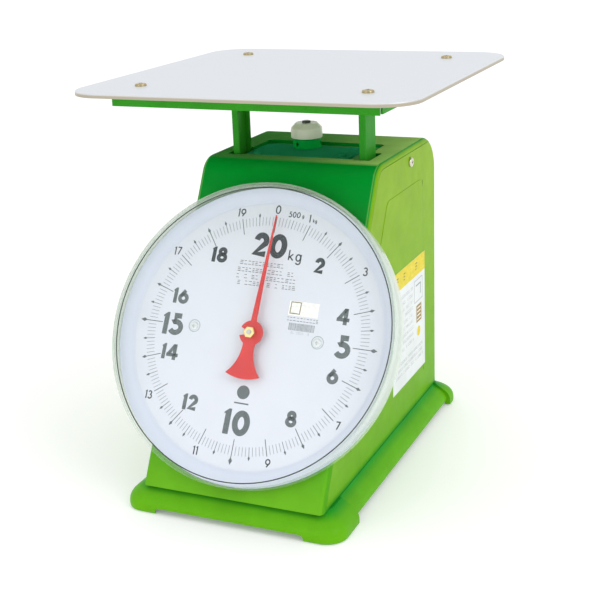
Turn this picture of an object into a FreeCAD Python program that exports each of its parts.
import FreeCAD, Part
import math
import os

V = FreeCAD.Vector
os.makedirs("parts", exist_ok=True)

# Driving dimensions, in millimetres. X is to the right, Y is to the rear, Z is up.
# The origin is on the floor, in the middle of the whole scale's footprint.

# Load axis: tray, frame and posts are centred on it.
LOAD_Y = 19.9
TRAVEL = 16.4              # the tray sinks this far for one turn of the pointer, 20 kg

# Tray
TRAY_TOP = 327.7
TRAY_SIZE = 280.0
TRAY_CORNER = 30.0
TRAY_SHEET = 1.0
TRAY_EDGE = 3.4
TRAY_SCREW_X = 94.2
TRAY_SCREW_Y = 96.0

# Tray frame
FRAME_X = 109.6
FRAME_Y = 114.9
FRAME_SHEET = 1.6
FRAME_DROP = 13.2
FRAME_RELIEF = 6.3

# Posts
POST_X = 59.75
POST_DEPTH = 23.6
POST_FLANGE = 6.0
POST_SHEET = 1.6
POST_BOTTOM = 72.0

# Casing
BODY_X = 77.7
SEAM_Z = 20.5
FACE_Y = -146.6            # front face at the seam with the base
LEAN = 29.45               # degrees that the face leans back from upright
TOP_Z = 259.5
REAR_Y = 136.3
TOP_FRONT_BEND = 20.0
TOP_REAR_BEND = 32.0
SIDE_BEND = 4.0
SHEET = 1.2
COVER_FLANGE = 4.5
SEAM_GAP = 0.5

# Base
BASE_X = 90.4
BASE_FRONT = -153.5
BASE_REAR = 150.0
FOOT_DROP = 5.5
BASE_CORNER = 20.0
BASE_SHEET = 1.5
FOOT_IN_X = 64.0           # the feet reach this far in along the front and rear
FOOT_IN_FRONT = -113.0     # and this far in along the sides
FOOT_IN_REAR = 129.0
FOOT_X = 94.5
FOOT_FRONT = -153.9
FOOT_REAR = 154.0
FOOT_CORNER = 17.0
BASE_FLARE = [(-1.0, 0.6), (5.0, -0.6), (9.0, 0.2), (13.0, 3.6), (16.0, 8.0), (18.5, 11.4), (22.0, 12.4)]
FOOT_FLARE = [(-1.0, 0.6), (5.0, 0.2), (9.0, 1.2), (13.0, 4.2), (16.0, 8.4), (18.5, 12.6), (22.0, 16.0)]
PAD_DROP = 0.8

# Dial
DIAL_Y = -89.3
DIAL_Z = 136.9
DIAL_FLAT_R = 107.0
DIAL_R = 118.8
DIAL_SHEET = 1.2
DIAL_DISH = 3.0
COVER_R = 121.5
COVER_FRONT = 14.4
COVER_BACK = -2.4
COVER_WALL = 1.8
COVER_EDGE = 4.5
FACE_H = -7.3              # front face of the casing, seen along the dial's own axis
POINTER_H = 6.0
POINTER_ANGLE = -2.5       # degrees, anticlockwise positive
DIAL_SCREW_R = 53.8
DIAL_TURN = -1.2           # the dial plate is fixed this far round
HUB_OPENING_R = 34.0
SPACER_R = 72.0
POINTER_R = 96.0
POINTER_SHEET = 0.8

# Movement
MODULE = 0.6
PINION_TEETH = 10
RACK_PITCH = math.pi * MODULE
ARBOR_R = 2.0
RUNNING = 0.05
PINION_H = -37.0           # rear end of the pinion, along the dial's axis
PINION_WIDE = 6.0
RACK_LOW = -8.5
RACK_HIGH = 74.0
RACK_TEETH_HIGH = 25.0
MOVEMENT_H = -46.0
MOVEMENT_X = 24.0
PLATE_SHEET = 1.6

# Rack's pin on the load frame's arm
RACK_PIN_V = 68.0
RACK_PIN_R = 1.6
SLOT_RUN = TRAVEL * math.tan(math.radians(LEAN))

# Levers
LEVER_PIVOT_Y = LOAD_Y + 87.0
LEVER_X = 47.0
PIN_R = 2.5
PIN_GAP = 0.06
UPPER_PIN_Z = 158.0
LOWER_PIN_Z = 92.0

# Chassis and springs
CHASSIS_X = 66.0
CHASSIS_WINDOW = (44, 170)
CHASSIS_SHEET = 1.5
CHASSIS_TOP = 238.0
BRACKET_H = -16.0
SPRING_X = 28.0
SPRING_TOP = 233.0
SPRING_BOTTOM = 194.0
SPRING_R = 7.6
SPRING_WIRE = 2.2
SPRING_COILS = 11

# Load frame, below the top cover
LOAD_BAR_TOP = 184.0
LOAD_BAR_DEEP = 12.0
FOOT_BAR_TOP = 77.0
BAR_SHEET = 2.0

# Top recess and zero knob
RECESS_X = 54.0
RECESS_FRONT = 6.9
RECESS_REAR = 70.9
RECESS_DEPTH = 3.0
KNOB_X = -12.2
KNOB_Y = 55.3
KNOB_R = 13.6
KNOB_LOW = 266.2
KNOB_TALL = 12.8
COLLAR_R = 12.3
KNOB_CHAMFER = 4.2
KNOB_ROUND = 2.2
ADJUSTER_X0 = -51.0
ADJUSTER_X1 = 41.0
SLOT_X = 7.0
SLOT_Y = 15.4

# Fixings
BASE_SCREWS = [(x, y) for x in (-58.0, 58.0) for y in (-96.0, 90.0)]
PAD_PLACES = [(x, y) for x in (-62.0, 62.0) for y in (-124.0, 118.0)]
SIDE_SCREWS = [(65.1, 246.8)]
TOP_SCREWS = [(x, y) for x in (-62.0, 62.0) for y in (-8.0, 76.0)]
VENT_X = 16.0
PANEL_RISE = 0.4
PANEL_LOW = 44.0
PANEL_HIGH = 226.0
PANEL_REAR = 98.0
PANEL_BEHIND = 33.0        # from the leaning face, square to it
PANEL_CORNER = 9.0
LABEL_REAR = 101.7
LABEL_WIDE = 88.0
LABEL_LOW = 52.0
LABEL_TALL = 107.0
VENT_Z = [70.0 + 8 * i for i in range(6)]

lean = math.radians(LEAN)
pitch_r = MODULE * PINION_TEETH / 2
lever_length = LEVER_PIVOT_Y - LOAD_Y


def save(name, shape):
    shape.exportStep("parts/" + name + ".step")


def box(x0, x1, y0, y1, z0, z1):
    return Part.makeBox(x1 - x0, y1 - y0, z1 - z0, V(x0, y0, z0))


def rod(x, y, z, radius, height, axis=V(0, 0, 1)):
    return Part.makeCylinder(radius, height, V(x, y, z), axis)


def joined(shapes):
    return shapes[0].fuse(shapes[1:]).removeSplitter()


def prism(points, direction):
    wire = Part.makePolygon([V(*p) for p in points] + [V(*points[0])])
    return Part.Face(wire).extrude(direction)


def slab(x0, x1, y0, y1, z0, z1, radius):
    """Box with its four upright edges rounded."""
    plain = box(x0, x1, y0, y1, z0, z1)
    upright = [e for e in plain.Edges if abs(e.tangentAt(e.FirstParameter).z) > 0.99]
    return plain.makeFillet(radius, upright)


def ring(outer, inner, z0, z1):
    return rod(0, 0, z0, outer, z1 - z0).cut(rod(0, 0, z0 - 1, inner, z1 - z0 + 2))


def on_dial(shape):
    """Move a shape from the dial's own frame, where +Z faces the reader, to its place."""
    placed = shape.copy()
    placed.rotate(V(0, 0, 0), V(1, 0, 0), 90 - LEAN)
    placed.translate(V(0, DIAL_Y, DIAL_Z))
    return placed


def dial_spots():
    """Where the dial's two screws go, in the dial's own frame."""
    turn = math.radians(DIAL_TURN)
    x, v = DIAL_SCREW_R * math.cos(turn), DIAL_SCREW_R * math.sin(turn)
    return [(-x, -v), (x, v)]


def face_y(z, behind=0.0):
    """Y of the leaning face at height z, moved square to itself towards the rear."""
    return FACE_Y + (z - SEAM_Z) * math.tan(lean) + behind / math.cos(lean)


def pan_head(radius, height, drive):
    """Screw head with a cross recess, standing on z = 0 and facing +Z."""
    head = rod(0, 0, 0, radius, height)
    head = head.makeFillet(height * 0.6, [e for e in head.Edges if e.BoundBox.ZMin > height - 0.01])
    for turn in (0, 90):
        slot = box(-drive, drive, -drive / 5, drive / 5, height * 0.45, height + 1)
        slot.rotate(V(0, 0, 0), V(0, 0, 1), turn)
        head = head.cut(slot)
    return head


def screw(radius, height, shank_r, shank, drive):
    return pan_head(radius, height, drive).fuse(rod(0, 0, -shank, shank_r, shank)).removeSplitter()


# Base: one pressed dish, flared out to a skirt, with four feet at its corners

def flared(x0, x1, y0, y1, corner, flare, inset):
    """Lofted dish whose outline at each height is set in from the given rectangle."""
    wires = []
    for z, spread in flare:
        s = spread + inset
        flat = slab(x0 + s, x1 - s, y0 + s, y1 - s, z - inset, z - inset + 1, corner - 0.4 * s)
        wires.append(min(flat.Faces, key=lambda f: f.CenterOfMass.z).OuterWire)
    return Part.makeLoft(wires, True, False)


def base_body(inset):
    """The skirt with its four rounded corner feet, all set in by inset."""
    body = flared(-BASE_X, BASE_X, BASE_FRONT, BASE_REAR, BASE_CORNER, BASE_FLARE, inset)
    feet = flared(-FOOT_X, FOOT_X, FOOT_FRONT, FOOT_REAR, FOOT_CORNER, FOOT_FLARE, inset)
    in_x = FOOT_IN_X + inset
    for y0, y1 in ((-300, FOOT_IN_FRONT - inset), (FOOT_IN_REAR + inset, 300)):
        for x0, x1 in ((-200, -in_x), (in_x, 200)):
            body = body.fuse(feet.common(slab(x0, x1, y0, y1, -20, 60, 3)))
    return body


def foot_gap(low, high, angle):
    """Rounded slot under the skirt between two feet, right through the base."""
    gap = slab(low, high, -8, FOOT_DROP, -300, 300, 3.5)
    gap.rotate(V(0, 0, 0), V(1, 0, 0), 90)
    gap.rotate(V(0, 0, 0), V(0, 0, 1), angle)
    return gap


def make_base():
    top = SEAM_Z - 0.3
    outer = base_body(0).common(box(-200, 200, -300, 300, PAD_DROP, top))
    shell = outer.cut(base_body(BASE_SHEET).common(box(-200, 200, -300, 300, -9, top - BASE_SHEET)))
    shell = shell.cut(foot_gap(FOOT_IN_FRONT, FOOT_IN_REAR, 90))
    shell = shell.cut(foot_gap(-FOOT_IN_X, FOOT_IN_X, 0))
    for x, y in BASE_SCREWS:
        shell = shell.cut(rod(x, y, SEAM_Z - 5, 2.2, 10))
    return shell


# Casing: a wrap-round cover for the front and top, and a U-shaped shell for sides and rear

def envelope(inset, back=0.0, side=0.0):
    """Outside of the casing, moved in all round; back and side push those walls out again."""
    front = inset / math.cos(lean)
    top = TOP_Z - inset
    rear = REAR_Y - inset + back
    low = SEAM_Z - 2
    points = [(0, face_y(low) + front, low), (0, face_y(top) + front, top), (0, rear, top), (0, rear, low)]
    half = BODY_X - inset + side
    solid = prism(points, V(2 * half, 0, 0))
    solid.translate(V(-half, 0, 0))
    along_x = [e for e in solid.Edges if abs(e.tangentAt(e.FirstParameter).x) > 0.99]
    bend = [e for e in along_x if e.CenterOfMass.z > top - 1]
    front_bend = min(bend, key=lambda e: e.CenterOfMass.y)
    rear_bend = max(bend, key=lambda e: e.CenterOfMass.y)
    centre = front_bend.CenterOfMass
    solid = solid.makeFillet(TOP_REAR_BEND - inset, [rear_bend])
    match = [e for e in solid.Edges if e.CenterOfMass.distanceToPoint(centre) < 0.5]
    solid = solid.makeFillet(TOP_FRONT_BEND - inset, match)
    outline = []
    for edge in solid.Edges:
        on_side = edge.BoundBox.XMax - edge.BoundBox.XMin < 0.01
        if on_side and edge.BoundBox.ZMax > low + 1:
            outline.append(edge)
    solid = solid.makeFillet(SIDE_BEND - inset, outline)
    return solid.common(box(-200, 200, -400, 400, SEAM_Z, 400))


def make_casing():
    shell = envelope(0).cut(envelope(SHEET))
    core = core_region(COVER_FLANGE)
    cover = shell.cut(core)
    rear = shell.common(core_region(COVER_FLANGE + SEAM_GAP))
    return cover, rear


def core_region(inset):
    """Everything behind the face and below the top by more than inset."""
    top = TOP_Z - inset
    front = inset / math.cos(lean)
    points = [(-200, face_y(0) + front, 0), (-200, face_y(top) + front, top),
              (-200, 400, top), (-200, 400, 0)]
    solid = prism(points, V(400, 0, 0))
    edge_y = face_y(top) + front
    corner = [e for e in solid.Edges
              if abs(e.CenterOfMass.y - edge_y) < 0.1 and abs(e.CenterOfMass.z - top) < 0.1]
    return solid.makeFillet(TOP_FRONT_BEND - inset, corner)


def finish_front_cover(cover):
    floor = TOP_Z - RECESS_DEPTH
    pan = slab(-RECESS_X - SHEET, RECESS_X + SHEET, RECESS_FRONT - SHEET, RECESS_REAR + SHEET,
               floor - SHEET, TOP_Z - 0.1, 6)
    hollow = slab(-RECESS_X, RECESS_X, RECESS_FRONT, RECESS_REAR, floor, TOP_Z + 5, 4.8)
    cover = cover.fuse(pan).cut(hollow)
    for side in (-1, 1):
        x = side * (POST_X - POST_FLANGE / 2)
        slot = slab(x - SLOT_X, x + SLOT_X, LOAD_Y - SLOT_Y, LOAD_Y + SLOT_Y, floor - 20, TOP_Z + 5, 2)
        cover = cover.cut(slot)
        cover = cover.cut(rod(side * (RECESS_X - 4.5), RECESS_REAR - 7, floor - 5, 3.0, 10))
    cover = cover.cut(rod(KNOB_X, KNOB_Y, floor - 5, 3.3, 10))
    opening = on_dial(rod(0, 0, FACE_H - 20, HUB_OPENING_R, 40))
    cover = cover.cut(opening)
    for x, v in dial_spots():
        cover = cover.cut(on_dial(rod(x, v, FACE_H - 20, 5.0, 40)))
    return cover


def finish_rear_casing(rear):
    for side in (-1, 1):
        for y, z in SIDE_SCREWS:
            rear = rear.cut(rod(side * (BODY_X - 10), y, z, 2.1, 20, V(side, 0, 0)))
        # a shallow pressed panel stiffens each side
        rear = rear.fuse(pressed_panel(side * (BODY_X - 0.05), side * PANEL_RISE))
    for z in VENT_Z:
        rear = rear.cut(slab_y(-VENT_X, VENT_X, REAR_Y - 5, REAR_Y + 5, z, z + 2.4, 1.1))
    return rear


def pressed_panel(x, thick):
    """Pressed panel on a casing side: a thin slab that follows the leaning face."""
    low_y, high_y = face_y(PANEL_LOW, PANEL_BEHIND), face_y(PANEL_HIGH, PANEL_BEHIND)
    points = [(x, low_y, PANEL_LOW), (x, high_y, PANEL_HIGH),
              (x, PANEL_REAR, PANEL_HIGH), (x, PANEL_REAR, PANEL_LOW)]
    solid = prism(points, V(thick, 0, 0))
    corners = [e for e in solid.Edges if abs(e.tangentAt(e.FirstParameter).x) > 0.99]
    return solid.makeFillet(PANEL_CORNER, corners)


# Chassis: two side plates on the base, tied by a top plate and by the plate behind the dial

def make_side_plate(side):
    """Upright plate with its foot turned in."""
    x0 = CHASSIS_X if side > 0 else -CHASSIS_X - CHASSIS_SHEET
    floor = SEAM_Z - 0.3
    points = [(x0, face_y(floor, 10), floor), (x0, face_y(CHASSIS_TOP, 10), CHASSIS_TOP),
              (x0, 86, CHASSIS_TOP), (x0, 122, 200), (x0, 122, floor)]
    plate = prism(points, V(CHASSIS_SHEET, 0, 0))
    low, high = CHASSIS_WINDOW
    window = [(x0 - 5, face_y(low, 40), low), (x0 - 5, face_y(high, 40), high),
              (x0 - 5, LOAD_Y + 30, high), (x0 - 5, LOAD_Y + 64, 120), (x0 - 5, LOAD_Y + 64, low)]
    hole = prism(window, V(CHASSIS_SHEET + 10, 0, 0))
    hole = hole.makeFillet(8, [e for e in hole.Edges if abs(e.tangentAt(e.FirstParameter).x) > 0.99])
    plate = plate.cut(hole)
    foot_x = sorted((side * (CHASSIS_X + CHASSIS_SHEET), side * (CHASSIS_X - 14)))
    foot = box(foot_x[0], foot_x[1], face_y(floor, 10) + 6, 118, floor, floor + CHASSIS_SHEET)
    plate = plate.fuse(foot)
    for z in (UPPER_PIN_Z - TRAVEL / 2, LOWER_PIN_Z - TRAVEL / 2):
        plate = plate.cut(rod(x0 - 5, LEVER_PIVOT_Y, z, PIN_R + 0.02, 20, V(1, 0, 0)))
    for x, y in BASE_SCREWS:
        if x * side > 0:
            plate = plate.cut(rod(x, y, floor - 5, 2.1, 15))
    return plate.removeSplitter()


def make_top_plate():
    """Spring hanger: a plate across the side plates, pierced for posts and springs."""
    z0 = CHASSIS_TOP
    plate = slab(-CHASSIS_X - CHASSIS_SHEET, CHASSIS_X + CHASSIS_SHEET, -14, 84, z0, z0 + 2, 3)
    for side in (-1, 1):
        x = side * (POST_X - POST_FLANGE / 2)
        plate = plate.cut(slab(x - SLOT_X, x + SLOT_X, LOAD_Y - SLOT_Y, LOAD_Y + SLOT_Y, z0 - 5, z0 + 5, 2))
        plate = plate.cut(rod(side * SPRING_X, LOAD_Y, z0 - 5, 1.6, 12))
    plate = plate.cut(rod(KNOB_X, KNOB_Y, z0 - 5, 3.05, 12))
    for x, y in TOP_SCREWS:
        plate = plate.cut(rod(x, y, z0 - 5, 1.6, 12))
    return plate


def make_dial_bracket():
    """Plate behind the face, square to the dial's axis, with its ends turned back."""
    half = CHASSIS_X
    plate = slab(-half, half, -46, 46, BRACKET_H, BRACKET_H + 1.6, 6)
    for side in (-1, 1):
        x = sorted((side * half, side * (half - 1.6)))
        plate = plate.fuse(box(x[0], x[1], -38, 38, BRACKET_H - 14, BRACKET_H + 1.6))
    plate = plate.cut(rod(0, 0, BRACKET_H - 5, ARBOR_R + RUNNING, 10))
    for x, v in dial_spots():
        plate = plate.cut(rod(x, v, BRACKET_H - 5, 1.6, 10))
    return on_dial(plate.removeSplitter())


# Dial

def make_dial_plate():
    back = -DIAL_SHEET
    lip = COVER_R - COVER_WALL
    profile = [(0, back), (DIAL_FLAT_R, back), (DIAL_R - DIAL_SHEET, DIAL_DISH - DIAL_SHEET),
               (DIAL_R - DIAL_SHEET, COVER_BACK), (lip, COVER_BACK), (lip, COVER_BACK + 1.2),
               (DIAL_R, COVER_BACK + 1.2), (DIAL_R, DIAL_DISH), (DIAL_FLAT_R, 0), (0, 0)]
    wire = Part.makePolygon([V(r, 0, z) for r, z in profile] + [V(profile[0][0], 0, profile[0][1])])
    plate = Part.Face(wire).revolve(V(0, 0, 0), V(0, 0, 1), 360)
    plate = plate.cut(rod(0, 0, -5, 6.0, 10))
    for x, v in dial_spots():
        plate = plate.cut(rod(x, v, -5, 1.7, 10))
    return on_dial(plate)


def make_dial_carrier():
    """Ring and web that hold the dial off the face, with two bosses down to the bracket."""
    carrier = ring(SPACER_R, SPACER_R - 2, FACE_H, -DIAL_SHEET)
    carrier = carrier.fuse(ring(SPACER_R, HUB_OPENING_R, FACE_H, FACE_H + 1.5))
    for x, v in dial_spots():
        carrier = carrier.fuse(rod(x, v, BRACKET_H + PLATE_SHEET, 4.0, -DIAL_SHEET - BRACKET_H - PLATE_SHEET))
        carrier = carrier.cut(rod(x, v, BRACKET_H, 1.5, 30))
    return on_dial(carrier)


def make_movement_bracket():
    """U-shaped strap behind the dial bracket; the arbor turns in both."""
    half, tall = MOVEMENT_X, 12.0
    strap = box(-half, half, -tall, tall, MOVEMENT_H, MOVEMENT_H + PLATE_SHEET)
    for side in (-1, 1):
        x = sorted((side * half, side * (half - PLATE_SHEET)))
        strap = strap.fuse(box(x[0], x[1], -tall, tall, MOVEMENT_H, BRACKET_H))
        x = sorted((side * (half - PLATE_SHEET), side * (half + 9)))
        strap = strap.fuse(box(x[0], x[1], -tall, tall, BRACKET_H - PLATE_SHEET, BRACKET_H))
    strap = strap.cut(rod(0, 0, MOVEMENT_H - 1, ARBOR_R + RUNNING, 5))
    return on_dial(strap.removeSplitter())


def make_dial_cover():
    inner_r = COVER_R - COVER_WALL
    outer = rod(0, 0, COVER_BACK, COVER_R, COVER_FRONT - COVER_BACK)
    rim = [e for e in outer.Edges if e.BoundBox.ZMin > COVER_FRONT - 0.1 and e.Length > 100]
    outer = outer.makeFillet(COVER_EDGE, rim)
    front = COVER_FRONT - COVER_WALL
    inner = rod(0, 0, COVER_BACK - 1, inner_r, front - COVER_BACK + 1)
    rim = [e for e in inner.Edges if e.BoundBox.ZMin > front - 0.1 and e.Length > 100]
    inner = inner.makeFillet(COVER_EDGE - COVER_WALL, rim)
    return on_dial(outer.cut(inner))


# Pointer: a tapering blade, a notched disc and a flared tail

def make_pointer():
    r_boss, r_tail = 10.0, 36.6
    spread = math.radians(24)
    tail_left = V(-r_tail * math.sin(spread), -r_tail * math.cos(spread), 0)
    tail_right = V(r_tail * math.sin(spread), -r_tail * math.cos(spread), 0)
    neck = 5.2
    edges = [
        Part.Arc(V(-neck, -7, 0), V(-neck - 1.6, -21, 0), tail_left).toShape(),
        Part.Arc(tail_left, V(0, -r_tail, 0), tail_right).toShape(),
        Part.Arc(tail_right, V(neck + 1.6, -21, 0), V(neck, -7, 0)).toShape(),
        Part.makeLine(V(neck, -7, 0), V(-neck, -7, 0)),
    ]
    tail = Part.Face(Part.Wire(edges)).extrude(V(0, 0, POINTER_SHEET))
    blade = prism([(-2.5, 5, 0), (2.5, 5, 0), (0.45, POINTER_R, 0), (-0.45, POINTER_R, 0)], V(0, 0, POINTER_SHEET))
    disc = rod(0, 0, 0, r_boss, POINTER_SHEET)
    plate = joined([disc, blade, tail])
    notch = prism([(-4.2, 1.6, -1), (-12, 4.6, -1), (-12, -3.4, -1), (-4.2, -1.8, -1)], V(0, 0, POINTER_SHEET + 2))
    plate = plate.cut(notch)
    plate = plate.cut(rod(0, 0, -1, ARBOR_R + 0.02, 5))
    return plate


def spin(shape, height):
    """Put a shape on the dial's axis at a height, turned to the pointer's rest angle."""
    turned = shape.copy()
    turned.rotate(V(0, 0, 0), V(0, 0, 1), POINTER_ANGLE)
    turned.translate(V(0, 0, height))
    return on_dial(turned)


def hexagon(across, height):
    r = across / math.sqrt(3)
    points = [(r * math.cos(math.radians(60 * i)), r * math.sin(math.radians(60 * i)), 0) for i in range(6)]
    return prism(points, V(0, 0, height))


def make_pinion():
    """Pinion with narrow straight-flanked teeth, so that it runs free in the rack."""
    root = pitch_r - 1.15 * MODULE
    tip = pitch_r + 0.85 * MODULE
    body = rod(0, 0, 0, root + 0.05, PINION_WIDE)
    teeth = [body]
    for i in range(PINION_TEETH):
        tooth = prism([(-0.42, root - 0.2, 0), (0.42, root - 0.2, 0), (0.34, pitch_r, 0), (0.14, tip, 0),
                       (-0.14, tip, 0), (-0.34, pitch_r, 0)], V(0, 0, PINION_WIDE))
        tooth.rotate(V(0, 0, 0), V(0, 0, 1), 360.0 * i / PINION_TEETH - 90)
        teeth.append(tooth)
    pinion = teeth[0].fuse(teeth[1:])
    return pinion.cut(rod(0, 0, -1, ARBOR_R - 0.6, PINION_WIDE + 2))


def rack_point(v):
    """World Y and Z of the rack's middle, v up the dial's face from its axis."""
    h = PINION_H + PINION_WIDE / 2
    y = DIAL_Y + v * math.sin(lean) - h * math.cos(lean)
    z = DIAL_Z + v * math.cos(lean) + h * math.sin(lean)
    return y, z


def make_rack():
    """Toothed bar on the right of the pinion; its slotted head hangs on the load frame's pin."""
    z0 = PINION_H + 0.5
    z1 = PINION_H + PINION_WIDE - 0.5
    root = pitch_r + 1.15 * MODULE
    tip = pitch_r - 0.8 * MODULE
    back = pitch_r + 4.5
    bar = box(root, back, RACK_LOW, RACK_HIGH, z0, z1)
    pieces = [bar]
    steps = range(math.ceil(RACK_LOW / RACK_PITCH), math.floor(RACK_TEETH_HIGH / RACK_PITCH))
    for i in steps:
        v = (i + 0.5) * RACK_PITCH
        flank = [(root + 0.2, v - 0.5), (root + 0.2, v + 0.5), (pitch_r, v + 0.3), (tip, v + 0.12),
                 (tip, v - 0.12), (pitch_r, v - 0.3)]
        pieces.append(prism([(x, y, z0) for x, y in flank], V(0, 0, z1 - z0)))
    rack = on_dial(joined(pieces))
    y, z = rack_point(RACK_PIN_V)
    head = slab_x(root, back, y - 5.5, y + SLOT_RUN + 5.5, z - 5, z + 5, 3)
    rack = rack.fuse(head)
    slot = slab_x(root - 5, back + 5, y - RACK_PIN_R - 0.1, y + SLOT_RUN + RACK_PIN_R + 0.1,
                  z - RACK_PIN_R - RUNNING, z + RACK_PIN_R + RUNNING, RACK_PIN_R)
    return rack.cut(slot).removeSplitter()


def slab_y(x0, x1, y0, y1, z0, z1, radius):
    """Box with its four edges along Y rounded."""
    plain = box(x0, x1, y0, y1, z0, z1)
    along = [e for e in plain.Edges if abs(e.tangentAt(e.FirstParameter).y) > 0.99]
    return plain.makeFillet(radius, along)


def slab_x(x0, x1, y0, y1, z0, z1, radius):
    """Box with its four edges along X rounded."""
    plain = box(x0, x1, y0, y1, z0, z1)
    along = [e for e in plain.Edges if abs(e.tangentAt(e.FirstParameter).x) > 0.99]
    return plain.makeFillet(radius, along)


# Load frame

def make_tray():
    half = TRAY_SIZE / 2
    y0, y1 = LOAD_Y - half, LOAD_Y + half
    outer = slab(-half, half, y0, y1, TRAY_TOP - TRAY_EDGE, TRAY_TOP, TRAY_CORNER)
    rim = [e for e in outer.Edges if e.BoundBox.ZMin > TRAY_TOP - 0.01]
    outer = outer.makeFillet(1.2, rim)
    s = TRAY_SHEET
    inner = slab(-half + s, half - s, y0 + s, y1 - s,
                 TRAY_TOP - TRAY_EDGE - 1, TRAY_TOP - s, TRAY_CORNER - s)
    tray = outer.cut(inner)
    for x, y in tray_screw_places():
        tray = tray.cut(rod(x, y, TRAY_TOP - 5, 2.6, 10))
    return tray


def tray_screw_places():
    return [(sx * TRAY_SCREW_X, LOAD_Y + sy * TRAY_SCREW_Y) for sy in (-1, 1) for sx in (-1, 1)]


def make_tray_frame():
    """Pressed frame under the tray: a flat ring with its four edges turned down."""
    top = TRAY_TOP - TRAY_SHEET
    low = TRAY_TOP - FRAME_DROP
    s = FRAME_SHEET
    x, y = FRAME_X, FRAME_Y
    frame = box(-x, x, LOAD_Y - y, LOAD_Y + y, top - s, top)
    window = slab(-x + 34, x - 34, LOAD_Y - y + 30, LOAD_Y + y - 30, top - 5, top + 5, 16)
    frame = frame.cut(window)
    frame = frame.fuse(box(-x + 30, x - 30, LOAD_Y - 16, LOAD_Y + 16, top - s, top))
    r = FRAME_RELIEF
    for side in (-1, 1):
        ys = sorted((LOAD_Y + side * y, LOAD_Y + side * (y - s)))
        frame = frame.fuse(box(-x, x, ys[0], ys[1], low, top))
        xs = sorted((side * x, side * (x - s)))
        frame = frame.fuse(box(xs[0], xs[1], LOAD_Y - y + r, LOAD_Y + y - r, low, top))
    for sx in (-1, 1):
        for sy in (-1, 1):
            xs = sorted((sx * (x - 0.6), sx * (x + 5)))
            ys = sorted((LOAD_Y + sy * (y - r), LOAD_Y + sy * (y - s - 0.4)))
            frame = frame.cut(box(xs[0] - 4, xs[1] + 4, ys[0], ys[1], low - 1, top - s))
    for px, py in tray_screw_places():
        frame = frame.cut(rod(px, py, low, 2.1, 30))
    return frame.removeSplitter()


def make_post(side):
    """Channel open towards the other post, with slots for the lever pins."""
    top = TRAY_TOP - TRAY_SHEET - FRAME_SHEET
    s = POST_SHEET
    y0, y1 = LOAD_Y - POST_DEPTH / 2, LOAD_Y + POST_DEPTH / 2
    xs = sorted((side * POST_X, side * (POST_X - POST_FLANGE)))
    block = slab(xs[0], xs[1], y0, y1, POST_BOTTOM, top, 0.9)
    inner = sorted((side * (POST_X - s), side * (POST_X - POST_FLANGE - 2)))
    post = block.cut(box(inner[0], inner[1], y0 + s, y1 - s, POST_BOTTOM - 1, top + 1))
    for z in (UPPER_PIN_Z, LOWER_PIN_Z):
        play = 0.42
        hole = PIN_R + PIN_GAP
        slot = slab_x(-5, 5, LOAD_Y - hole - play, LOAD_Y + hole, z - hole, z + hole, PIN_R)
        slot.translate(V(side * POST_X, 0, 0))
        post = post.cut(slot)
    for y in (LOAD_Y - 6.5, LOAD_Y + 6.5):
        post = post.cut(rod(side * (POST_X - 5), y, top - 12.6, 1.1, 10, V(side, 0, 0)))
    return post


def make_saddle():
    """Shallow channel that ties the posts' upper ends under the frame."""
    top = TRAY_TOP - TRAY_SHEET - FRAME_SHEET
    half = POST_X - POST_SHEET
    y = POST_DEPTH / 2 - POST_SHEET - 0.4
    deep = 8.0
    bar = box(-half, half, LOAD_Y - y, LOAD_Y + y, top - deep, top)
    bar = bar.cut(box(-half + 2, half - 2, LOAD_Y - y + 1.6, LOAD_Y + y - 1.6, top - deep - 1, top - 1.6))
    return bar


def make_load_bar():
    """Channel between the posts that carries the spring ends and the rack's arm."""
    half = POST_X - POST_SHEET
    y = POST_DEPTH / 2 - POST_SHEET - 0.4
    s = BAR_SHEET
    low = LOAD_BAR_TOP - LOAD_BAR_DEEP
    bar = box(-half, half, LOAD_Y - y, LOAD_Y + y, low, LOAD_BAR_TOP)
    bar = bar.cut(box(-half + s, half - s, LOAD_Y - y + s, LOAD_Y + y - s, low - 1, LOAD_BAR_TOP - s))
    for side in (-1, 1):
        bar = bar.cut(rod(side * SPRING_X, LOAD_Y, LOAD_BAR_TOP - 5, 1.6, 10))
    return bar


def make_foot_bar():
    half = POST_X - POST_SHEET
    y = POST_DEPTH / 2 - POST_SHEET - 0.4
    bar = box(-half, half, LOAD_Y - y, LOAD_Y + y, FOOT_BAR_TOP - 3, FOOT_BAR_TOP)
    return bar.cut(rod(0, LOAD_Y, FOOT_BAR_TOP - 5, 2.0, 10))


def make_rack_arm():
    y, z = rack_point(RACK_PIN_V)
    x0 = pitch_r + 4.5 + 0.8
    front = LOAD_Y - POST_DEPTH / 2 + POST_SHEET + 0.4
    arm = slab_x(x0, x0 + 2.4, y - 5, front, z - 5, z + 5, 3)
    tab = box(x0, x0 + 14, front - 2.4, front, LOAD_BAR_TOP - LOAD_BAR_DEEP, LOAD_BAR_TOP)
    arm = arm.fuse(box(x0, x0 + 2.4, front - 8, front, LOAD_BAR_TOP - LOAD_BAR_DEEP, z)).fuse(tab)
    pin_x = pitch_r + 1.15 * MODULE - 0.6
    return arm.fuse(rod(pin_x, y, z, RACK_PIN_R, x0 + 1 - pin_x, V(1, 0, 0))).removeSplitter()


# Levers: two parallel ones keep the tray level

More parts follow.
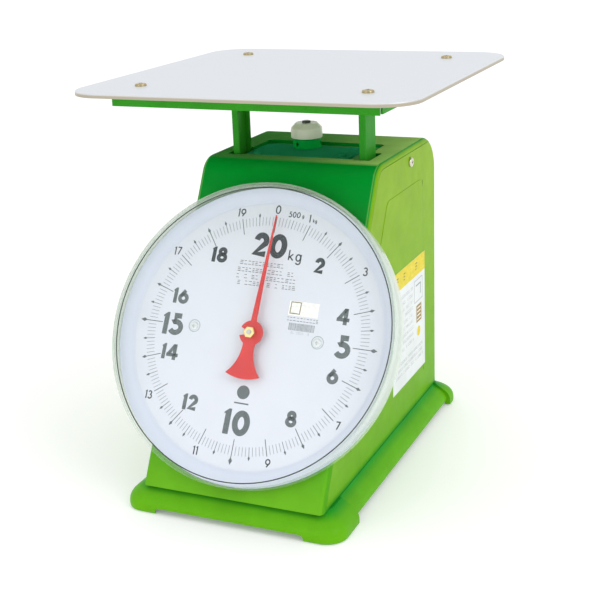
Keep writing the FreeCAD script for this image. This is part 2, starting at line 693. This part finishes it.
def make_lever(pin_z):
    pivot_z = pin_z - TRAVEL / 2
    slope = math.atan2(TRAVEL / 2, lever_length)
    length = lever_length / math.cos(slope)
    width = 10.0
    s = 2.0
    arms = []
    for side in (-1, 1):
        xs = sorted((side * LEVER_X, side * (LEVER_X - s)))
        arms.append(slab_x(xs[0], xs[1], -length - 6, 6, -width / 2, width / 2, 4.9))
    web = box(-LEVER_X, LEVER_X, -26, -8, width / 2 - s, width / 2)
    lever = joined(arms + [web])
    for side in (-1, 1):
        x0 = side * LEVER_X - 5
        lever = lever.cut(rod(x0, 0, 0, PIN_R + RUNNING, 10, V(1, 0, 0)))
        lever = lever.cut(rod(x0, -length, 0, PIN_R, 10, V(1, 0, 0)))
    lever.rotate(V(0, 0, 0), V(1, 0, 0), -math.degrees(slope))
    lever.translate(V(0, LEVER_PIVOT_Y, pivot_z))
    return lever


def make_lever_pin(pin_z):
    half = POST_X + 2
    return rod(-half, LOAD_Y, pin_z, PIN_R, 2 * half, V(1, 0, 0))


def make_lever_shaft(pin_z):
    half = CHASSIS_X + CHASSIS_SHEET + 2
    return rod(-half, LEVER_PIVOT_Y, pin_z - TRAVEL / 2, PIN_R, 2 * half, V(1, 0, 0))


# Springs

def make_spring(side):
    height = SPRING_TOP - SPRING_BOTTOM - SPRING_WIRE
    r = SPRING_R - SPRING_WIRE / 2
    helix = Part.makeHelix(height / SPRING_COILS, height, r)
    circle = Part.Wire(Part.makeCircle(SPRING_WIRE / 2, V(r, 0, 0), V(0, 1, 0)))
    coil = Part.Wire(helix).makePipeShell([circle], True, True)
    coil.translate(V(side * SPRING_X, LOAD_Y, SPRING_BOTTOM + SPRING_WIRE / 2))
    return coil


def make_spring_plug(side, z0, z1, stud0, stud1):
    """Threaded plug in a spring's end, with its stud and nut."""
    x = side * SPRING_X
    plug = rod(x, LOAD_Y, z0, SPRING_R - SPRING_WIRE - 0.15, z1 - z0)
    return plug.fuse(rod(x, LOAD_Y, stud0, 1.5, stud1 - stud0)).removeSplitter()


# Zero knob

def make_knob():
    knob = rod(0, 0, 0, KNOB_R, KNOB_TALL)
    lower = [e for e in knob.Edges if e.BoundBox.ZMax < 0.1 and e.Length > 20]
    knob = knob.makeFillet(0.8, lower)
    upper = [e for e in knob.Edges if e.BoundBox.ZMin > KNOB_TALL - 0.1 and e.Length > 20]
    knob = knob.makeChamfer(KNOB_CHAMFER, upper)
    shoulder = KNOB_TALL - KNOB_CHAMFER
    edges = [e for e in knob.Edges if abs(e.BoundBox.ZMax - shoulder) < 0.1 and e.BoundBox.ZMin > 2]
    knob = knob.makeFillet(KNOB_ROUND, edges)
    knob = knob.cut(rod(0, 0, -1, 3.0, KNOB_TALL + 5))
    knob.translate(V(KNOB_X, KNOB_Y, KNOB_LOW))
    return knob


def make_collar():
    """Round pressed cup that the knob stands on."""
    floor = TOP_Z - RECESS_DEPTH + PLATE_SHEET
    top = KNOB_LOW - 0.4
    cup = rod(KNOB_X, KNOB_Y, floor, COLLAR_R, top - floor)
    cup = cup.makeFillet(1.2, [e for e in cup.Edges if e.BoundBox.ZMin > top - 0.1 and e.Length > 20])
    cup = cup.cut(rod(KNOB_X, KNOB_Y, floor - 1, COLLAR_R - 1.4, top - floor - 0.4))
    cup = cup.cut(rod(KNOB_X, KNOB_Y, floor, 3.3, 20))
    hole = rod(0, 0, 0, 1.7, 40, V(0, -1, 0))
    for angle in (-20, 100, 220):
        turned = hole.copy()
        turned.rotate(V(0, 0, 0), V(0, 0, 1), angle)
        turned.translate(V(KNOB_X, KNOB_Y, (floor + top) / 2 - 0.3))
        cup = cup.cut(turned)
    return cup


def make_adjuster_plate():
    """Plate in the recess that carries the collar."""
    floor = TOP_Z - RECESS_DEPTH
    plate = slab(ADJUSTER_X0, ADJUSTER_X1, RECESS_FRONT + 1.5, RECESS_REAR - 12,
                 floor, floor + PLATE_SHEET, 7)
    plate = plate.cut(rod(KNOB_X, KNOB_Y, floor - 1, 3.3, 5))
    for x in (ADJUSTER_X0 + 6, ADJUSTER_X1 - 6):
        plate = plate.cut(rod(x, RECESS_FRONT + 8, floor - 1, 1.6, 5))
    return plate


# Every piece, one file each

base = make_base()
save("base", base)
for i, (x, y) in enumerate(PAD_PLACES, 1):
    pad = rod(x, y, 0, 9.0, SEAM_Z - 0.3 - BASE_SHEET)
    pad = pad.makeFillet(1.0, [e for e in pad.Edges if e.BoundBox.ZMax < 0.1 and e.Length > 20])
    save("foot_pad_%d" % i, pad)
for i, (x, y) in enumerate(BASE_SCREWS, 1):
    bolt = screw(4.0, 2.6, 2.0, 9.0, 1.8)
    bolt.rotate(V(0, 0, 0), V(1, 0, 0), 180)
    bolt.translate(V(x, y, SEAM_Z - 0.3 - BASE_SHEET))
    save("base_screw_%d" % i, bolt)

front, rear = make_casing()
save("front_cover", finish_front_cover(front))
save("rear_casing", finish_rear_casing(rear))
for side, name in ((-1, "left"), (1, "right")):
    y, z = SIDE_SCREWS[0]
    bolt = screw(4.2, 2.4, 2.0, 9.0, 1.9)
    bolt.rotate(V(0, 0, 0), V(0, 1, 0), 90 * side)
    bolt.translate(V(side * BODY_X, y, z))
    save("side_screw_" + name, bolt)

x = BODY_X + PANEL_RISE - 0.05
save("side_label", box(x, x + 0.2, LABEL_REAR - LABEL_WIDE, LABEL_REAR, LABEL_LOW, LABEL_LOW + LABEL_TALL))

save("chassis_left", make_side_plate(-1))
save("chassis_right", make_side_plate(1))
save("chassis_top", make_top_plate())
save("dial_bracket", make_dial_bracket())

save("dial_plate", make_dial_plate())
save("dial_cover", make_dial_cover())
save("dial_carrier", make_dial_carrier())
for name, (x, y) in zip(("left", "right"), dial_spots()):
    bolt = screw(3.4, 1.4, 1.5, 8.0, 1.6)
    bolt.translate(V(x, y, 0))
    save("dial_screw_" + name, on_dial(bolt))

save("movement_bracket", make_movement_bracket())
arbor = rod(0, 0, MOVEMENT_H - 2, ARBOR_R - 0.6, PINION_H + PINION_WIDE + 3 - MOVEMENT_H)
arbor = arbor.fuse(rod(0, 0, MOVEMENT_H - 2, ARBOR_R, PINION_H - MOVEMENT_H + 2))
arbor = arbor.fuse(rod(0, 0, PINION_H + PINION_WIDE, ARBOR_R, POINTER_H + 6.0 - PINION_H - PINION_WIDE))
arbor = arbor.fuse(rod(0, 0, 1.6, 4.6, POINTER_H - 1.6))
save("pointer_arbor", on_dial(arbor.removeSplitter()))
pinion = make_pinion()
pinion.translate(V(0, 0, PINION_H))
save("pinion", on_dial(pinion))
save("pointer", spin(make_pointer(), POINTER_H))
nut = hexagon(8.4, 4.6)
nut = nut.makeFillet(0.6, [e for e in nut.Edges if e.BoundBox.ZMin > 4.5])
nut = nut.cut(rod(0, 0, -1, ARBOR_R, 10))
save("hub_nut", spin(nut, POINTER_H + POINTER_SHEET))
save("rack", make_rack())

save("tray", make_tray())
save("tray_frame", make_tray_frame())
for i, (x, y) in enumerate(tray_screw_places(), 1):
    bolt = screw(4.6, 2.0, 2.0, 8.0, 2.2)
    bolt.translate(V(x, y, TRAY_TOP))
    save("tray_screw_%d" % i, bolt)
save("post_left", make_post(-1))
save("post_right", make_post(1))
save("post_saddle", make_saddle())
save("load_bar", make_load_bar())
save("foot_bar", make_foot_bar())
save("rack_arm", make_rack_arm())

for name, pin_z in (("upper", UPPER_PIN_Z), ("lower", LOWER_PIN_Z)):
    save("lever_" + name, make_lever(pin_z))
    save("lever_shaft_" + name, make_lever_shaft(pin_z))
    save("lever_pin_" + name, make_lever_pin(pin_z))

for side, name in ((-1, "left"), (1, "right")):
    save("spring_" + name, make_spring(side))
    hanger = make_spring_plug(side, SPRING_TOP - 9, SPRING_TOP, SPRING_TOP, CHASSIS_TOP + 6)
    save("spring_hanger_" + name, hanger)
    foot = make_spring_plug(side, SPRING_BOTTOM, SPRING_BOTTOM + 9, LOAD_BAR_TOP - 4, SPRING_BOTTOM)
    save("spring_foot_" + name, foot)

save("adjuster_plate", make_adjuster_plate())
save("knob_collar", make_collar())
save("zero_knob", make_knob())
crown = KNOB_LOW + KNOB_TALL
cap = rod(KNOB_X, KNOB_Y, crown, 3.7, 1.6)
cap = cap.makeFillet(0.6, [e for e in cap.Edges if e.BoundBox.ZMin > crown + 1.5 and e.Length > 10])
stem = rod(KNOB_X, KNOB_Y, CHASSIS_TOP - 12, 3.0, crown - CHASSIS_TOP + 12)
save("zero_screw", cap.fuse(stem).removeSplitter())

cup = rod(0, LOAD_Y, SEAM_Z - 0.3, 14.0, 31.0)
cup = cup.cut(rod(0, LOAD_Y, SEAM_Z + 1.4, 12.2, 40.0))
save("damper_cup", cup)
piston = rod(0, LOAD_Y, 45.0, 11.7, 2.0).fuse(rod(0, LOAD_Y, 45.0, 2.0, FOOT_BAR_TOP + 3 - 45.0))
save("damper_piston", piston.removeSplitter())
